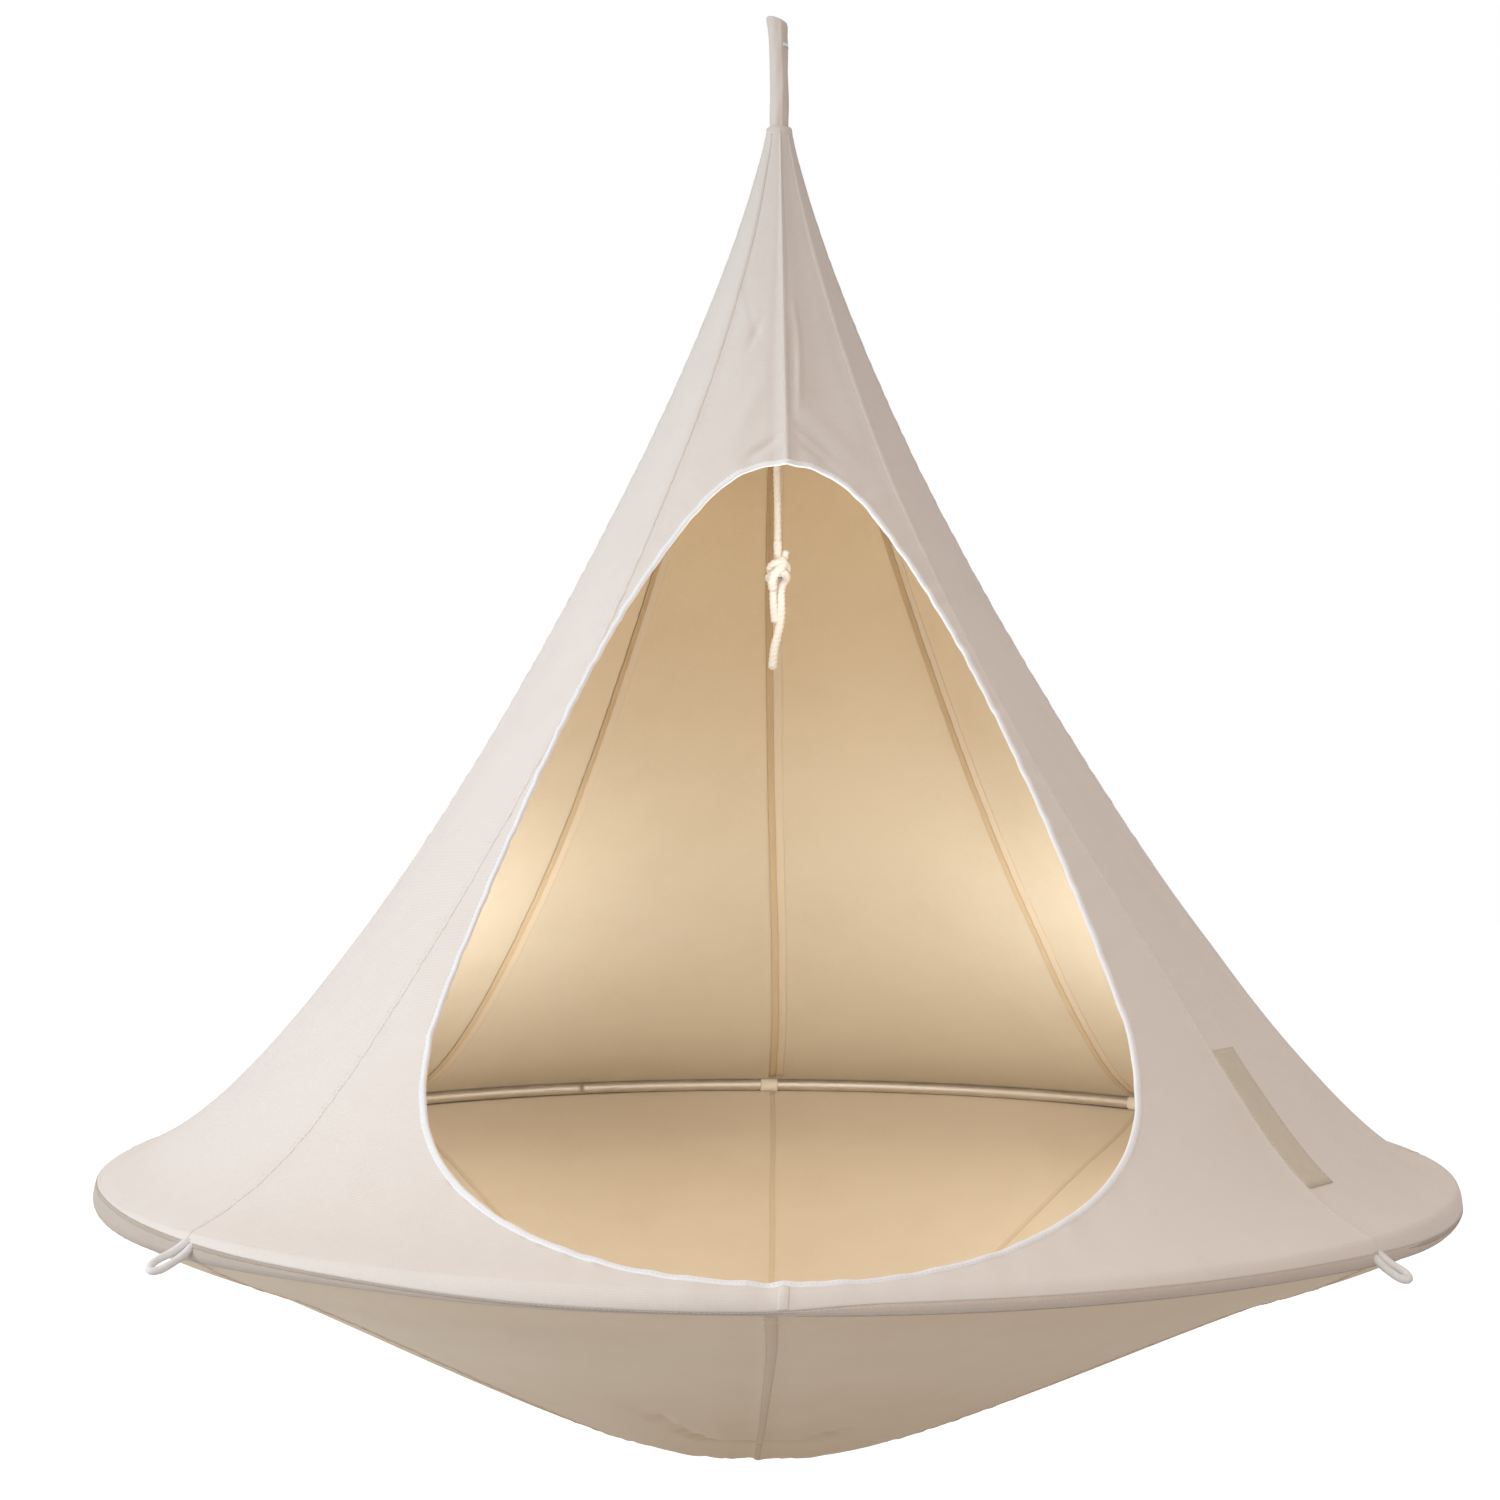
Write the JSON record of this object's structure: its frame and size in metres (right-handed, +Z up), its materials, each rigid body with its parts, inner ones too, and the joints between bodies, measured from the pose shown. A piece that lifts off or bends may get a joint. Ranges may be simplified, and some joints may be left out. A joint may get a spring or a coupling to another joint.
{
  "type": "hanging cocoon tent",
  "caption": "Hanging cocoon tent: a fabric cone with an egg-shaped door over a sagging fabric floor, held round by a hidden tube ring and hung from a slim neck.",
  "frame": {"origin": "the bearing point inside the top eye, on the line that the tent hangs from", "axes": "+Z up along the hanging line, the door faces -Y, +X to the right seen from the door's front"},
  "size_m": [1.5, 1.5, 1.666],
  "materials": {
    "canvas": "matt woven canvas",
    "floor_canvas": "matt woven canvas, a little darker",
    "binding": "white woven tape",
    "webbing": "flat woven webbing",
    "aluminium": "drawn tube, bare",
    "steel": "satin steel",
    "rope": "twisted soft rope",
    "loop_cord": "braided cord",
    "label": "bare woven label"
  },
  "bodies": {
    "hanger": {"swivel_eye": "steel", "swivel_nut": "steel"},
    "neck": {"swivel_bow": "steel", "hang_sling": "rope", "neck_sleeve": "canvas"},
    "link": {"crown_link": "steel"},
    "cocoon": {"canopy_gore_front_right": "canvas", "canopy_gore_right_front": "canvas", "canopy_gore_right_rear": "canvas", "canopy_gore_rear_right": "canvas", "canopy_gore_rear_left": "canvas", "canopy_gore_left_rear": "canvas", "canopy_gore_left_front": "canvas", "canopy_gore_front_left": "canvas", "floor_gore_front_right": "floor_canvas", "floor_gore_right_front": "floor_canvas", "floor_gore_right_rear": "floor_canvas", "floor_gore_rear_right": "floor_canvas", "floor_gore_rear_left": "floor_canvas", "floor_gore_left_rear": "floor_canvas", "floor_gore_left_front": "floor_canvas", "floor_gore_front_left": "floor_canvas", "bottom_disc": "floor_canvas", "rim_band": "canvas", "door_binding": "binding", "bare_label": "label", "load_strap_front": "webbing", "load_strap_front_right": "webbing", "load_strap_right": "webbing", "load_strap_rear_right": "webbing", "load_strap_rear": "webbing", "load_strap_rear_left": "webbing", "load_strap_left": "webbing", "load_strap_front_left": "webbing", "strap_gather": "webbing", "ring_tab_front": "canvas", "ring_tab_front_right": "canvas", "ring_tab_right": "canvas", "ring_tab_rear_right": "canvas", "ring_tab_rear": "canvas", "ring_tab_rear_left": "canvas", "ring_tab_left": "canvas", "ring_tab_front_left": "canvas", "ring_tube_right": "aluminium", "ring_tube_rear": "aluminium", "ring_tube_left": "aluminium", "ring_tube_front": "aluminium", "ring_spigot_front_right": "aluminium", "ring_spigot_rear_right": "aluminium", "ring_spigot_rear_left": "aluminium", "ring_spigot_front_left": "aluminium", "crown_eye": "steel"},
    "cord": {"inner_cord_eye": "rope", "inner_cord": "rope", "inner_cord_knot": "rope"},
    "loop_front_right": {"tie_loop_front_right": "loop_cord"},
    "loop_rear_right": {"tie_loop_rear_right": "loop_cord"},
    "loop_rear_left": {"tie_loop_rear_left": "loop_cord"},
    "loop_front_left": {"tie_loop_front_left": "loop_cord"}
  },
  "joints": [
    {"name": "spin", "type": "hinge", "parent": "hanger", "child": "neck", "pos_m": [0, 0, -0.02], "axis": [0, 0, 1], "continuous": true},
    {"name": "side_swing", "type": "hinge", "parent": "neck", "child": "link", "pos_m": [0, 0, -0.1166], "axis": [0, 1, 0], "range_deg": [-12, 12]},
    {"name": "front_swing", "type": "hinge", "parent": "link", "child": "cocoon", "pos_m": [0, 0, -0.1289], "axis": [1, 0, 0], "range_deg": [-12, 12]},
    {"name": "cord_swing", "type": "hinge", "parent": "cocoon", "child": "cord", "pos_m": [0, 0, -0.1861], "axis": [1, 0, 0], "range_deg": [-15, 15]},
    {"name": "loop_hinge_front_right", "type": "hinge", "parent": "cocoon", "child": "loop_front_right", "pos_m": [0.53567, -0.53567, -1.34005], "axis": [-0.7071, -0.7071, 0], "range_deg": [-50, 75]},
    {"name": "loop_hinge_rear_right", "type": "hinge", "parent": "cocoon", "child": "loop_rear_right", "pos_m": [0.53567, 0.53567, -1.34005], "axis": [0.7071, -0.7071, 0], "range_deg": [-50, 75]},
    {"name": "loop_hinge_rear_left", "type": "hinge", "parent": "cocoon", "child": "loop_rear_left", "pos_m": [-0.53567, 0.53567, -1.34005], "axis": [0.7071, 0.7071, 0], "range_deg": [-50, 75]},
    {"name": "loop_hinge_front_left", "type": "hinge", "parent": "cocoon", "child": "loop_front_left", "pos_m": [-0.53567, -0.53567, -1.34005], "axis": [-0.7071, 0.7071, 0], "range_deg": [-50, 75]}
  ]
}
